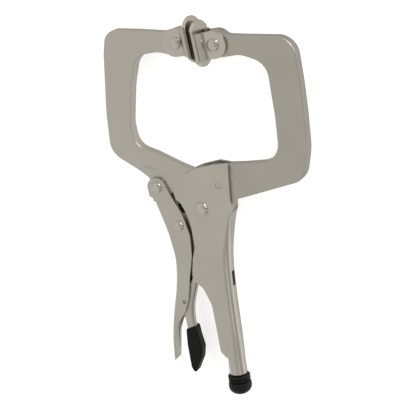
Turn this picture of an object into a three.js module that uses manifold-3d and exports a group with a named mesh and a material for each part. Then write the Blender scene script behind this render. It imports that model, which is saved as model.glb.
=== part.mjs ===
// Locking C-clamp pliers with swivel pads, lying on one side.
// Millimetres. +Y points from the adjusting knob to the jaws, +Z away from the surface it lies on.
// Everything is drawn about the main pivot, in the tool's mid-plane, and moved to its rest frame at the end.
import * as THREE from 'three';
import { mergeVertices } from 'three/addons/utils/BufferGeometryUtils.js';
import Module from 'manifold-3d';

const wasm = await Module();
wasm.setup();

// ---- Driving dimensions -------------------------------------------------------------------------
const GAP = 0.3;                       // clearance between neighbouring pieces
const FAR = 200;                       // longer than anything in the tool, for cutting bodies

const JAW_HALF = 4.0;                  // half thickness of the two C arms
const JAW_BEVEL = 0.8;                 // broken edges of the arms
const LUG_HALF = 3.0;                  // movable jaw where the lever's flanks straddle it
const LUG_RADIUS = 9.6;
const TIP_RADIUS = 9.6;                // round ends of the arms inside the pads' ears

const BODY_SHEET = 2.3;                // fixed handle
const BODY_INNER = JAW_HALF + GAP;     // half width inside its flanks
const BODY_OUTER = BODY_INNER + BODY_SHEET;
const BODY_BEND = 5.6;                 // outer radius of its rounded spine

const LEVER_SHEET = 2.0;
const LEVER_INNER = LUG_HALF + GAP;
const LEVER_OUTER = LEVER_INNER + LEVER_SHEET;
const LEVER_BEND = 3.4;

const RELEASE_SHEET = 1.3;
const RELEASE_OUTER = LEVER_INNER - GAP;
const RELEASE_INNER = RELEASE_OUTER - RELEASE_SHEET;
const GRIP_HALF = 4.2;                 // half thickness of the dipped grip

const MAIN_PIVOT = [0, 0];
const LEVER_PIVOT = [-33.5, 15.2];
const LINK_PIVOT = [-20.7, -13.3];
const RELEASE_PIVOT = [-24.6, -71.4];
const LEFT_PAD_PIVOT = [-2.6, 117.9];
const RIGHT_PAD_PIVOT = [25.3, 115.7];
const FIXING_RIVET = [15.3, 17.5];
const SPRING_EYE = [-21.5, 5.0];
const SLOT_CENTRE_Y = -53;
const SLOT_LENGTH = 11;
const SLOT_WIDTH = 4.4;

const MAIN_PIN = 3.2;                  // pin radii
const SMALL_PIN = 2.4;
const FIXING_PIN = 2.2;
const RELEASE_PIN = 1.5;
const MAIN_HEAD = 5.0;                 // rivet head radii
const SMALL_HEAD = 4.1;
const PAD_HEAD = 4.6;
const HEAD_HEIGHT = 1.5;

const LINK_HALF = 2.2;
const LINK_HUB = 7.3;
const LINK_NOSE = 3.5;
const LINK_SEAT = [8.1, -58];          // centre of the link's nose
const SEAT_CLEARANCE = 2.4;            // room between the link's nose and the screw

const SCREW_X = 8.1;                   // axis of the neck and the adjusting screw
const SCREW_RADIUS = 3.6;
const NECK_OUTER = 6.5;
const NECK_INNER = SCREW_RADIUS + GAP;
const NECK_TOP = -110;
const NECK_BOTTOM = -127.4;
const KNOB_RADIUS = 8.5;
const KNOB_TOP = -127.9;
const KNOB_BOTTOM = -143.2;

const PAD_RADIUS = 15.9;
const LEFT_PAD_LIFT = 0.2;             // plate centres above their pivots
const RIGHT_PAD_LIFT = 1.4;
const PAD_SHEET = 2.5;
const PAD_REACH = 12.75;               // pad pivot to clamping face
const PAD_TILT = 5;                    // degrees that both pads have swivelled
const PAD_HALF = 12.3;                 // mid-plane to the outside of the folded ears
const EAR_RADIUS = 9.3;
const EAR_END = 8.3;                   // ears' half width where they fold into the plate
const EAR_INNER = JAW_HALF + GAP;
const EAR_SHEET = 2.0;
const EAR_OUTER = EAR_INNER + EAR_SHEET;

const SPRING_WIRE = 0.7;               // wire radius
const SPRING_COIL = 2.3;               // coil radius at the wire's centre
const SPRING_TURNS = 11;

const ARC_STEPS = 5;                   // segments of a fillet
const ROUND_SEGMENTS = 24;             // segments of a full circle

// ---- Solids ------------------------------------------------------------------------------------
function toSolid(geometry) {
  const bare = geometry.clone();
  bare.deleteAttribute('normal');
  bare.deleteAttribute('uv');
  const merged = mergeVertices(bare, 1e-4);
  const vertProperties = Float32Array.from(merged.attributes.position.array);
  const triVerts = Uint32Array.from(merged.index.array);
  return new wasm.Manifold(new wasm.Mesh({ numProp: 3, vertProperties, triVerts }));
}

function toGeometry(solid) {
  const mesh = solid.getMesh();
  const geometry = new THREE.BufferGeometry();
  geometry.setAttribute('position', new THREE.BufferAttribute(mesh.vertProperties, 3));
  geometry.setIndex(new THREE.BufferAttribute(mesh.triVerts, 1));
  geometry.computeVertexNormals();
  return geometry;
}

// A corner list [x, y, fillet radius] becomes a closed shape whose corners are arcs.
function outline(corners) {
  const points = [];
  corners.forEach(([x, y, radius = 0], i) => {
    const here = new THREE.Vector2(x, y);
    const before = new THREE.Vector2(...corners.at(i - 1).slice(0, 2)).sub(here);
    const after = new THREE.Vector2(...corners[(i + 1) % corners.length].slice(0, 2)).sub(here);
    const half = before.angleTo(after) / 2;
    if (radius === 0 || Math.abs(half - Math.PI / 2) < 0.01) {
      points.push(here);
      return;
    }
    const reach = Math.min(radius / Math.tan(half), before.length() * 0.49, after.length() * 0.49);
    const r = reach * Math.tan(half);
    before.normalize();
    after.normalize();
    const centre = before.clone().add(after).normalize().multiplyScalar(r / Math.sin(half)).add(here);
    const from = before.clone().multiplyScalar(reach).add(here).sub(centre);
    const to = after.clone().multiplyScalar(reach).add(here).sub(centre);
    const sweep = Math.atan2(from.cross(to), from.dot(to));
    const steps = Math.max(2, Math.ceil(Math.abs(sweep) / (Math.PI / 2) * ARC_STEPS));
    for (let k = 0; k <= steps; k++) {
      points.push(from.clone().rotateAround(new THREE.Vector2(), sweep * k / steps).add(centre));
    }
  });
  return new THREE.Shape(points);
}

// An arm's round end about its pad's pivot, as outline points between two angles in degrees.
function roundTip([x, y], from, to) {
  const steps = 2 * ARC_STEPS;
  return Array.from({ length: steps + 1 }, (_, k) => {
    const angle = THREE.MathUtils.degToRad(from + (to - from) * k / steps);
    return [x + TIP_RADIUS * Math.cos(angle), y + TIP_RADIUS * Math.sin(angle), 0];
  });
}

function slab(shape, half, bevel = 0) {
  const geometry = new THREE.ExtrudeGeometry(shape, {
    depth: 2 * (half - bevel),
    bevelEnabled: bevel > 0,
    bevelThickness: bevel,
    bevelSize: bevel,
    bevelOffset: -bevel,
    bevelSegments: 1,
    curveSegments: ROUND_SEGMENTS,
  });
  geometry.translate(0, 0, bevel - half);
  return toSolid(geometry);
}

function circle([x, y], radius) {
  const shape = new THREE.Shape();
  shape.absarc(x, y, radius, 0, 2 * Math.PI);
  return shape;
}

// A round bar along Z through a point.
function bar([x, y], radius, half = FAR) {
  const geometry = new THREE.CylinderGeometry(radius, radius, 2 * half, ROUND_SEGMENTS);
  geometry.rotateX(Math.PI / 2);
  geometry.translate(x, y, 0);
  return toSolid(geometry);
}

function block(x0, x1, y0, y1, z0, z1) {
  const geometry = new THREE.BoxGeometry(x1 - x0, y1 - y0, z1 - z0);
  geometry.translate((x0 + x1) / 2, (y0 + y1) / 2, (z0 + z1) / 2);
  return toSolid(geometry);
}

// A turned piece about a line along Y through x; its profile is [radius, y] pairs.
function turned(profile, x) {
  const points = profile.map(([radius, y]) => new THREE.Vector2(radius, y));
  const geometry = new THREE.LatheGeometry(points, ROUND_SEGMENTS);
  geometry.translate(x, 0, 0);
  return toSolid(geometry);
}

// Everything of a solid further than half from the mid-plane within a plan shape is cut away.
function thin(solid, planSolid, half) {
  const middle = block(-FAR, FAR, -FAR, FAR, -half, half);
  return solid.subtract(planSolid.subtract(middle));
}

// A U-section tube that follows a bend line: at each station [y, spine x], the section is closed by a
// round spine of the given half width and runs out to openX on the other side.
function trough(stations, openX, half, bend) {
  const side = Math.sign(stations[0][1] - openX);
  const rings = stations.map(([y, spineX]) => {
    const ring = [new THREE.Vector3(openX, y, half), new THREE.Vector3(openX, y, -half)];
    for (const corner of [-1, 1]) {
      for (let k = 0; k <= ARC_STEPS; k++) {
        const angle = Math.PI / 2 * (corner < 0 ? 1 - k / ARC_STEPS : k / ARC_STEPS);
        const x = spineX - side * bend * (1 - Math.cos(angle));
        const z = corner * (half - bend * (1 - Math.sin(angle)));
        ring.push(new THREE.Vector3(x, y, z));
      }
    }
    return ring;
  });
  return loft(rings, side);
}

// Rings of equal length joined into one closed body.
function loft(rings, side) {
  const count = rings[0].length;
  const index = [];
  const face = (a, b, c) => index.push(...(side > 0 ? [a, c, b] : [a, b, c]));
  for (let r = 0; r + 1 < rings.length; r++) {
    for (let k = 0; k < count; k++) {
      const next = (k + 1) % count;
      const a = r * count;
      const b = a + count;
      face(a + k, b + k, b + next);
      face(a + k, b + next, a + next);
    }
  }
  const last = (rings.length - 1) * count;
  for (let k = 1; k + 1 < count; k++) {
    face(0, k, k + 1);
    face(last, last + k + 1, last + k);
  }
  const geometry = new THREE.BufferGeometry();
  geometry.setFromPoints(rings.flat());
  geometry.setIndex(index);
  return toSolid(geometry);
}

// A bent sheet: the wall between an outer trough and the same trough moved in by the sheet.
function bentSheet(stations, openX, innerHalf, sheet, bend) {
  const side = Math.sign(stations[0][1] - openX);
  const innerStations = stations.map(([y, x]) => [y, x - side * sheet]);
  innerStations[0] = [stations[0][0] - Math.sign(stations[1][0] - stations[0][0]), innerStations[0][1]];
  const end = stations.length - 1;
  const outwards = Math.sign(stations[end][0] - stations[end - 1][0]);
  innerStations[end] = [stations[end][0] + outwards, innerStations[end][1]];
  const outer = trough(stations, openX, innerHalf + sheet, bend);
  const inner = trough(innerStations, openX + side * -5, innerHalf, Math.max(bend - sheet, 0.8));
  return outer.subtract(inner);
}

// A rivet across the tool: a shank and two domed heads.
function rivet([x, y], pin, head, seat, height = HEAD_HEIGHT) {
  const top = seat + GAP + height;
  const lip = seat + GAP;
  const shoulder = lip + height * 0.45;
  const half = [[pin, lip], [head, lip], [head, shoulder - 0.2], [head * 0.8, top - 0.3], [head * 0.4, top]];
  const mirrored = half.map(([radius, z]) => [radius, -z]).reverse();
  const profile = [[0, -top], ...mirrored, ...half, [0, top]];
  const geometry = new THREE.LatheGeometry(profile.map(([r, z]) => new THREE.Vector2(r, z)), ROUND_SEGMENTS);
  geometry.rotateX(Math.PI / 2);
  geometry.translate(x, y, 0);
  return toSolid(geometry);
}

// ---- Jaws --------------------------------------------------------------------------------------
// The bar of the spring eye hangs below the tongue, thinned so that the spring's loop closes round it.
function movableJaw() {
  const shape = outline([
    [-38.5, 21.5, 4], [-47.5, 28.5, 10], [-66.6, 40.5, 15], [-65.2, 70, 60], [-60.0, 112, 40],
    [-56.0, 128.6, 13], [-30, 127.0, 30], [-12, 125.2, 16], ...roundTip(LEFT_PAD_PIVOT, 90, -90),
    [-18, 111.8, 20], [-34.4, 109.8, 12], [-41, 90, 60], [-46.6, 62, 30], [-45.2, 45.5, 12],
    [-31, 40, 12], [-14, 31.6, 20], [3, 24.5, 12], [12.6, 10, 10], [13.4, -8, 12], [1, -14.2, 12],
    [-12.6, -10.5, 10], [-13.8, 2, 6], [-18.0, 5.4, 1.5], [-18.6, 2.4, 2.6], [-24.4, 2.4, 2.6],
    [-25.0, 7.0, 2], [-30, 8.2, 6], [-40.0, 9.0, 6.5],
  ]);
  const lever = Math.atan2(LINK_PIVOT[1] - LEVER_PIVOT[1], LINK_PIVOT[0] - LEVER_PIVOT[0]);
  const straddle = new THREE.BoxGeometry(60, 2 * LUG_RADIUS, FAR);
  straddle.translate(30, 0, 0);
  straddle.rotateZ(lever);
  straddle.translate(...LEVER_PIVOT, 0);
  let jaw = slab(shape, JAW_HALF, JAW_BEVEL);
  jaw = thin(jaw, toSolid(straddle).add(bar(LEVER_PIVOT, LUG_RADIUS)), LUG_HALF);
  jaw = thin(jaw, bar(SPRING_EYE, 5.4), 1.0);
  return jaw
    .subtract(bar(SPRING_EYE, 1.8))
    .subtract(bar(MAIN_PIVOT, MAIN_PIN + GAP))
    .subtract(bar(LEVER_PIVOT, SMALL_PIN + GAP))
    .subtract(bar(LEFT_PAD_PIVOT, SMALL_PIN + GAP));
}

function fixedJaw() {
  const shape = outline([
    [16.2, -1.6, 1], [22.0, -1.9, 1], [24.6, 4.6, 5], [31, 7.4, 6], [78.4, 20.6, 13], [83.6, 42, 40],
    [84.2, 68, 60], [83.9, 88, 50], [82.3, 118.8, 14], [52, 120.4, 40], [36, 121.4, 14],
    ...roundTip(RIGHT_PAD_PIVOT, 90, 270), [43, 108.0, 16], [60.8, 101.6, 16], [62.4, 66, 60],
    [62.0, 34.4, 14], [34, 32.4, 20], [24.5, 32.2, 3], [15.0, 27.0, 4], [14.6, 10, 10],
  ]);
  return slab(shape, JAW_HALF, JAW_BEVEL)
    .subtract(bar(FIXING_RIVET, FIXING_PIN + GAP))
    .subtract(bar(RIGHT_PAD_PIVOT, SMALL_PIN + GAP));
}

// ---- Fixed handle ------------------------------------------------------------------------------
const SPINE = [
  [60, 45], [-2.2, 45], [-2.4, 22.2], [-11, 19.6], [-31, 16.4], [-46, 14.9], [-64, 14.4],
  [-83, 14.4], [-101, 14.6], [-110, 14.6], [-116, 14.6],
];

function fixedHandle() {
  const plan = outline([
    [-15.8, 20.6, 6], [-9.6, 25.6, 8], [0, 29.6, 20], [13, 32.4, 20], [24.6, 33.4, 1], [23.3, 15, 20],
    [22.2, -4, 6], [24, -40, 0], [24, NECK_TOP - 3, 0], [3.2, NECK_TOP - 3, 0], [-0.6, -108.4, 4],
    [-1.4, -90, 30], [-2.4, -72, 14], [-7.4, -59.5, 10], [-11.2, -56.2, 2], [-14.2, -54.6, 1.5],
    [-14.4, -49, 3], [-12.2, -37, 20], [-9.4, -28.5, 3], [-9.8, -14.5, 20], [-11.8, -4, 20],
    [-15.4, 4.0, 1], [-18.8, 7.2, 1.2], [-20.2, 12.5, 5],
  ]);
  const neck = turned([
    [NECK_INNER, NECK_BOTTOM], [NECK_OUTER, NECK_BOTTOM], [NECK_OUTER, NECK_TOP],
    [NECK_INNER, NECK_TOP], [NECK_INNER, NECK_BOTTOM],
  ], SCREW_X);
  const slot = block(SCREW_X, FAR, SLOT_CENTRE_Y - SLOT_LENGTH / 2, SLOT_CENTRE_Y + SLOT_LENGTH / 2,
    -SLOT_WIDTH / 2, SLOT_WIDTH / 2);
  return bentSheet(SPINE, -60, BODY_INNER, BODY_SHEET, BODY_BEND)
    .intersect(slab(plan, FAR))
    .add(neck)
    .subtract(slot)
    .subtract(bar(MAIN_PIVOT, MAIN_PIN + GAP))
    .subtract(bar(FIXING_RIVET, FIXING_PIN + GAP));
}

// ---- Lever, link and release -------------------------------------------------------------------
const LEVER_BACK = [
  [60, -90], [5.2, -90], [5.0, -37.4], [-5.4, -34.4], [-16.6, -31.3], [-27.9, -29.2], [-39.3, -28.0],
  [-50.9, -28.9], [-62.6, -31.0], [-74.5, -34.0], [-86.4, -36.9], [-102.4, -39.7], [-119, -41.0],
  [-125, -41.4],
];

function leverHandle() {
  const plan = outline([
    [-39.9, 8.6, 6.8], [-40.8, 18, 7.1], [-36, 22.4, 7.1], [-28.6, 21.6, 6], [-22.6, 8, 30],
    [-15.8, -6.5, 30], [-12.6, -20, 16], [-13.4, -36, 30], [-17.6, -52.5, 40], [-21.4, -70, 20],
    [-25.4, -79.6, 10], [-31.9, -87.6, 20], [-36.0, -97, 20], [-39.2, -118.6, 1.2], [-44, -120.4, 1],
    [-44, -100, 0], [-44, -30, 0], [-41, 2, 0], [-37.5, 4.6, 0], [-36.9, 7.0, 1.5],
  ]);
  return bentSheet(LEVER_BACK, 30, LEVER_INNER, LEVER_SHEET, LEVER_BEND)
    .intersect(slab(plan, FAR))
    .subtract(bar(LEVER_PIVOT, SMALL_PIN + GAP))
    .subtract(bar(LINK_PIVOT, SMALL_PIN + GAP))
    .subtract(bar(RELEASE_PIVOT, RELEASE_PIN + GAP));
}

function toggleLink() {
  const along = new THREE.Vector2(LINK_SEAT[0] - LINK_PIVOT[0], LINK_SEAT[1] - LINK_PIVOT[1]);
  const length = along.length();
  const shape = outline([
    [-LINK_HUB, -LINK_HUB, LINK_HUB], [2, -LINK_HUB, 6], [12, -4.2, 10],
    [length + LINK_NOSE, -LINK_NOSE, LINK_NOSE], [length + LINK_NOSE, LINK_NOSE, LINK_NOSE],
    [12, 4.2, 10], [2, LINK_HUB, 6], [-LINK_HUB, LINK_HUB, LINK_HUB],
  ]);
  return slab(shape, LINK_HALF)
    .rotate([0, 0, THREE.MathUtils.radToDeg(along.angle())])
    .translate([...LINK_PIVOT, 0])
    .subtract(bar(LINK_PIVOT, SMALL_PIN + GAP));
}

const RELEASE_SPINE = [
  [-40, -8.6], [-46, -9.8], [-57, -13.7], [-61.7, -15.2], [-68, -17.4], [-74.3, -19.3], [-81.4, -20.5],
  [-88, -20.7], [-96, -20.2], [-118, -20.6], [-122, -20.7],
];

function releaseLever() {
  const plan = outline([
    [-9.6, -45.2, 1.5], [-5, -50, 0], [-5, -100, 0], [-20.6, -108, 3], [-21.4, -118, 2], [-24.2, -118, 2],
    [-26.2, -98, 5], [-26.6, -88, 10], [-27.8, -78, 6], [-28.6, -70, 4], [-24.4, -63.6, 5],
    [-18.6, -58, 8], [-13.2, -47, 3],
  ]);
  return bentSheet(RELEASE_SPINE, -50, RELEASE_INNER, RELEASE_SHEET, RELEASE_SHEET + 0.7)
    .intersect(slab(plan, FAR))
    .subtract(bar(RELEASE_PIVOT, RELEASE_PIN + GAP));
}

// The dipped grip is a thick round-edged blade with an open pocket for the release lever's tail.
function releaseGrip() {
  const shape = outline([
    [-27.6, -93.8, 1.5], [-19.4, -90.4, 2], [-18.6, -98.5, 8], [-16.8, -108.5, 7], [-18.4, -116.5, 8],
    [-25.0, -129.4, 2.2], [-27.8, -124, 4], [-28.4, -106, 20],
  ]);
  const pocket = outline([
    [-26.9, -80, 0], [-20.0, -80, 0], [-19.6, -100, 2], [-20.6, -118.6, 2], [-25.0, -118.6, 2],
    [-27.0, -98, 3],
  ]);
  return slab(shape, GRIP_HALF, 1.2).subtract(slab(pocket, RELEASE_OUTER + GAP));
}

// ---- Swivel pads -------------------------------------------------------------------------------
// Drawn with the pivot at the origin and the clamping face towards +X: a round plate, trimmed where its two
// ears fold back, each ear stepping in to lie against the arm.
function swivelPad([x, y], turn, lift) {
  const back = PAD_REACH - PAD_SHEET;
  const earTop = PAD_REACH - 0.3;
  const plate = new THREE.CylinderGeometry(PAD_RADIUS, PAD_RADIUS, PAD_SHEET, 48);
  plate.rotateZ(Math.PI / 2);
  plate.translate(PAD_REACH - PAD_SHEET / 2, lift, 0);
  const trim = block(0, FAR, -FAR, FAR, -PAD_HALF, PAD_HALF);
  const section = outline([
    [-FAR, EAR_INNER, 0], [4.6, EAR_INNER, 1.5], [back - 1.4, PAD_HALF - PAD_SHEET - 0.6, 1.0],
    [back + 0.4, PAD_HALF - 4.2, 0], [back + 0.4, 0, 0], [earTop, 0, 0], [earTop, PAD_HALF, 2.0],
    [back - 1.2, PAD_HALF, 2], [5.6, EAR_OUTER, 2.5], [-FAR, EAR_OUTER, 0],
  ]);
  const earPlan = outline([
    [-EAR_RADIUS, -EAR_RADIUS, EAR_RADIUS], [9.8, -EAR_RADIUS, 1], [PAD_REACH, -EAR_END, 0],
    [PAD_REACH, EAR_END, 0], [9.8, EAR_RADIUS, 1], [-EAR_RADIUS, EAR_RADIUS, EAR_RADIUS],
  ]);
  const fold = new THREE.ExtrudeGeometry(section, { depth: 2 * FAR, bevelEnabled: false });
  fold.translate(0, 0, -FAR);
  fold.rotateX(Math.PI / 2);
  const far = toSolid(fold).intersect(slab(earPlan, FAR));
  const near = far.rotate([180, 0, 0]);
  return toSolid(plate).intersect(trim)
    .add(near)
    .add(far)
    .subtract(bar([0, 0], SMALL_PIN + GAP))
    .rotate([0, 0, turn])
    .translate([x, y, 0]);
}

// ---- Spring, screw and knob --------------------------------------------------------------------
// One wire: a loop through the jaw's eye, the close coil, and an end that hooks into the spine's slot.
function springWire() {
  const eye = new THREE.Vector3(...SPRING_EYE, 0);
  const anchor = new THREE.Vector3(12.6, SLOT_CENTRE_Y + 3.5, 0);
  const along = anchor.clone().sub(eye).normalize();
  const across = new THREE.Vector3(-along.y, along.x, 0);
  const up = new THREE.Vector3(0, 0, 1);
  const place = (s, a, z) => eye.clone()
    .addScaledVector(along, s)
    .addScaledVector(across, a)
    .addScaledVector(up, z);
  const loop = 2.35;
  const points = [];
  for (let k = 0; k <= 7; k++) {
    const angle = Math.PI * (0.35 + 1.5 * k / 7);
    points.push(place(loop - 0.1 + loop * Math.cos(angle), 0, loop * Math.sin(angle)));
  }
  points.push(place(9, 0, -0.4), place(15, 0, 0), place(22, 0, 0));
  const perTurn = 10;
  const start = 26.5;
  const pitch = 2.3;
  for (let k = 0; k <= SPRING_TURNS * perTurn; k++) {
    const angle = 2 * Math.PI * k / perTurn;
    const s = start + pitch * k / perTurn;
    points.push(place(s, SPRING_COIL * Math.sin(angle), SPRING_COIL * Math.cos(angle)));
  }
  const end = start + pitch * SPRING_TURNS;
  points.push(place(end + 3, 0, 0.8), place(end + 6, 0, 0), anchor);
  const path = new THREE.CatmullRomCurve3(points);
  const geometry = new THREE.ExtrudeGeometry(circle([0, 0], SPRING_WIRE), {
    steps: 11 * (SPRING_TURNS + 5), extrudePath: path, curveSegments: 3, bevelEnabled: false,
  });
  return toSolid(geometry);
}

function adjustingScrew() {
  const tip = LINK_SEAT[1] - LINK_NOSE - SEAT_CLEARANCE;
  return turned([
    [0, KNOB_BOTTOM + 3], [SCREW_RADIUS, KNOB_BOTTOM + 3], [SCREW_RADIUS, tip - 1.5],
    [SCREW_RADIUS - 1.5, tip], [0, tip],
  ], SCREW_X);
}

function screwKnob() {
  const bore = SCREW_RADIUS + GAP;
  return turned([
    [0, KNOB_BOTTOM], [KNOB_RADIUS - 3.2, KNOB_BOTTOM], [KNOB_RADIUS - 1.2, KNOB_BOTTOM + 1.2],
    [KNOB_RADIUS, KNOB_BOTTOM + 3.6], [KNOB_RADIUS, KNOB_TOP - 2.2], [KNOB_RADIUS - 1.2, KNOB_TOP - 0.6],
    [KNOB_RADIUS - 2.4, KNOB_TOP], [bore, KNOB_TOP], [bore, KNOB_BOTTOM + 3 - GAP],
    [0, KNOB_BOTTOM + 3 - GAP],
  ], SCREW_X);
}

// ---- Assembly ----------------------------------------------------------------------------------
const NICKEL = { color: 0xa8a398, roughness: 0.34, metalness: 1.0 };
const DARK_NICKEL = { color: 0x9d978d, roughness: 0.38, metalness: 1.0 };
const STEEL = { color: 0x8e8b86, roughness: 0.42, metalness: 1.0 };
const BLACK_VINYL = { color: 0x1e1e20, roughness: 0.5, metalness: 0.0 };

const pliers = new THREE.Group();

function addPiece(name, solid, finish) {
  const mesh = new THREE.Mesh(toGeometry(solid), new THREE.MeshStandardMaterial(finish));
  mesh.name = name;
  pliers.add(mesh);
}

addPiece('fixed_handle', fixedHandle(), NICKEL);
addPiece('fixed_jaw', fixedJaw(), DARK_NICKEL);
addPiece('jaw_fixing_rivet', bar(FIXING_RIVET, FIXING_PIN, BODY_OUTER - 0.1), NICKEL);
addPiece('main_pivot_rivet', rivet(MAIN_PIVOT, MAIN_PIN, MAIN_HEAD, BODY_OUTER), NICKEL);
addPiece('movable_jaw', movableJaw(), NICKEL);
addPiece('lever_handle', leverHandle(), NICKEL);
addPiece('jaw_lever_rivet', rivet(LEVER_PIVOT, SMALL_PIN, SMALL_HEAD, LEVER_OUTER), NICKEL);
addPiece('link_rivet', rivet(LINK_PIVOT, SMALL_PIN, SMALL_HEAD, LEVER_OUTER), NICKEL);
addPiece('toggle_link', toggleLink(), STEEL);
addPiece('release_lever', releaseLever(), NICKEL);
addPiece('release_grip', releaseGrip(), BLACK_VINYL);
addPiece('release_pivot_pin', bar(RELEASE_PIVOT, RELEASE_PIN, LEVER_OUTER - 0.4), STEEL);
addPiece('tension_spring', springWire(), STEEL);
addPiece('adjusting_screw', adjustingScrew(), STEEL);
addPiece('screw_knob', screwKnob(), BLACK_VINYL);
addPiece('left_swivel_pad', swivelPad(LEFT_PAD_PIVOT, PAD_TILT, LEFT_PAD_LIFT), NICKEL);
addPiece('right_swivel_pad', swivelPad(RIGHT_PAD_PIVOT, PAD_TILT + 180, -RIGHT_PAD_LIFT), NICKEL);
addPiece('left_pad_rivet', rivet(LEFT_PAD_PIVOT, SMALL_PIN, PAD_HEAD, EAR_OUTER), NICKEL);
addPiece('right_pad_rivet', rivet(RIGHT_PAD_PIVOT, SMALL_PIN, PAD_HEAD, EAR_OUTER), NICKEL);

// The rest frame has its origin under the middle of the tool, on the surface that the pads lie on.
const extent = new THREE.Box3().setFromObject(pliers, true);
const middle = extent.getCenter(new THREE.Vector3());
pliers.position.set(-middle.x, -middle.y, -extent.min.z);

export default pliers;
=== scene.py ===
"""Locking C-clamp pliers with swivel pads: the looks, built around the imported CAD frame.

Lengths are in millimetres about the main pivot, in the tool's mid-plane, as in the CAD source: +Y towards the
jaws, +X towards the fixed handle's back, +Z up. Finished meshes are moved to the row frame, in metres.
"""
import math

import bmesh
import bpy
from mathutils import Matrix, Vector


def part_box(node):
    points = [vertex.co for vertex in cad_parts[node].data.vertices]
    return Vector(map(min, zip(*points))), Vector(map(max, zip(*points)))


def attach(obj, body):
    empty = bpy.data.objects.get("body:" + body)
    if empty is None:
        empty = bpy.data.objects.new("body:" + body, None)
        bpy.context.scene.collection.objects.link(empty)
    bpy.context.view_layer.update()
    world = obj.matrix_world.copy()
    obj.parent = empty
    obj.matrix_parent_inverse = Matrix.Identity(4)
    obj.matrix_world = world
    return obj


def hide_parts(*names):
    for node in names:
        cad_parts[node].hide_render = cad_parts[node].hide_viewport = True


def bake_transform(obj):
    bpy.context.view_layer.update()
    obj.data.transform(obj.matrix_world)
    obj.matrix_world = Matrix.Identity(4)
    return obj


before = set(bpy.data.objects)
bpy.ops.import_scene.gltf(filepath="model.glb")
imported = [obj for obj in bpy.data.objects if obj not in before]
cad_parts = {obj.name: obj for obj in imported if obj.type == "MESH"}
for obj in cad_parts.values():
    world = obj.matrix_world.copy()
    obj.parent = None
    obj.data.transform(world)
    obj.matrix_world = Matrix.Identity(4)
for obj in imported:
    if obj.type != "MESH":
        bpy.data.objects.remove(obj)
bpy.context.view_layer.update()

MM = 0.001
GAP = 0.3
FAR = 200


def centre_of(node):
    low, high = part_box(node)
    return (Vector(low) + Vector(high)) / 2


def in_plan(node):
    """A node's centre in the tool's own millimetres."""
    place = (centre_of(node) - PIVOT) / MM
    return place.x, place.y


PIVOT = centre_of("main_pivot_rivet")
TO_ROW = Matrix.Translation(PIVOT) @ Matrix.Scale(MM, 4)

# ---- Driving dimensions ----------------------------------------------------------------------------
JAW_HALF = 4.0
JAW_EDGE = 1.1                         # radius of the arms' rounded edges
LUG_HALF = 2.95                        # movable jaw between the lever's flanks
TIP_RADIUS = 9.6

BODY_SHEET = 2.3
BODY_INNER = JAW_HALF + GAP
BODY_OUTER = BODY_INNER + BODY_SHEET
BODY_BEND = 5.6
LEVER_SHEET = 2.0
LEVER_INNER = 3.3
LEVER_OUTER = LEVER_INNER + LEVER_SHEET
LEVER_BEND = 3.4
RELEASE_SHEET = 1.3
RELEASE_OUTER = LEVER_INNER - GAP
RELEASE_INNER = RELEASE_OUTER - RELEASE_SHEET
GRIP_HALF = 4.2
SHEET_EDGE = 0.35                      # broken edges of the sheet pieces

MAIN_PIVOT = (0, 0)
LEVER_PIVOT = in_plan("jaw_lever_rivet")
LINK_PIVOT = in_plan("link_rivet")
RELEASE_PIVOT = in_plan("release_pivot_pin")
LEFT_PAD_PIVOT = in_plan("left_pad_rivet")
RIGHT_PAD_PIVOT = in_plan("right_pad_rivet")
FIXING_RIVET = in_plan("jaw_fixing_rivet")
SPRING_EYE = (-21.5, 5.0)
SLOT_CENTRE_Y = -53
SLOT_LENGTH = 11
SLOT_WIDTH = 4.4

MAIN_PIN = 3.2
SMALL_PIN = 2.4
FIXING_PIN = 2.2
RELEASE_PIN = 1.5
MAIN_HEAD = 5.0
SMALL_HEAD = 4.1
PAD_HEAD = 4.6
HEAD_HEIGHT = 1.5

LINK_HALF = 2.2
LINK_HUB = 7.3
LINK_NOSE = 3.5
LINK_SEAT = (8.1, -58)
SEAT_CLEARANCE = 2.4

SCREW_X = 8.1
SCREW_RADIUS = 3.6
NECK_OUTER = 6.5
NECK_INNER = SCREW_RADIUS + GAP
NECK_TOP = -110
NECK_BOTTOM = -127.4
KNOB_RADIUS = 8.5
KNOB_TOP = -127.9
KNOB_BOTTOM = -143.2

PAD_RADIUS = 15.9
LEFT_PAD_LIFT = 0.2
RIGHT_PAD_LIFT = 1.4
PAD_SHEET = 2.5
PAD_REACH = 12.75
PAD_TILT = 5
PAD_HALF = 12.3
EAR_RADIUS = 9.3
EAR_END = 8.3                          # ears' half width where they fold into the plate
EAR_INNER = JAW_HALF + GAP
EAR_SHEET = 2.0
EAR_OUTER = EAR_INNER + EAR_SHEET

SPRING_WIRE = 0.7
SPRING_COIL = 2.3
SPRING_TURNS = 11

ARC_STEP = math.radians(7)             # angle between points of a fillet
ROUND = 48                             # segments of a full circle


# ---- Camera, floor and light -------------------------------------------------------------------------
CAMERA_AZIMUTH = math.radians(27)      # from the tool's flat side towards its back
CAMERA_RISE = math.radians(18)         # from its flat side towards the jaws
CAMERA_ROLL = math.radians(8)
CAMERA_DISTANCE = 1.0
CAMERA_LENS = 123.97
AIM = Vector((1.935, -1.255, 0.0))     # looked at, from the main pivot


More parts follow.
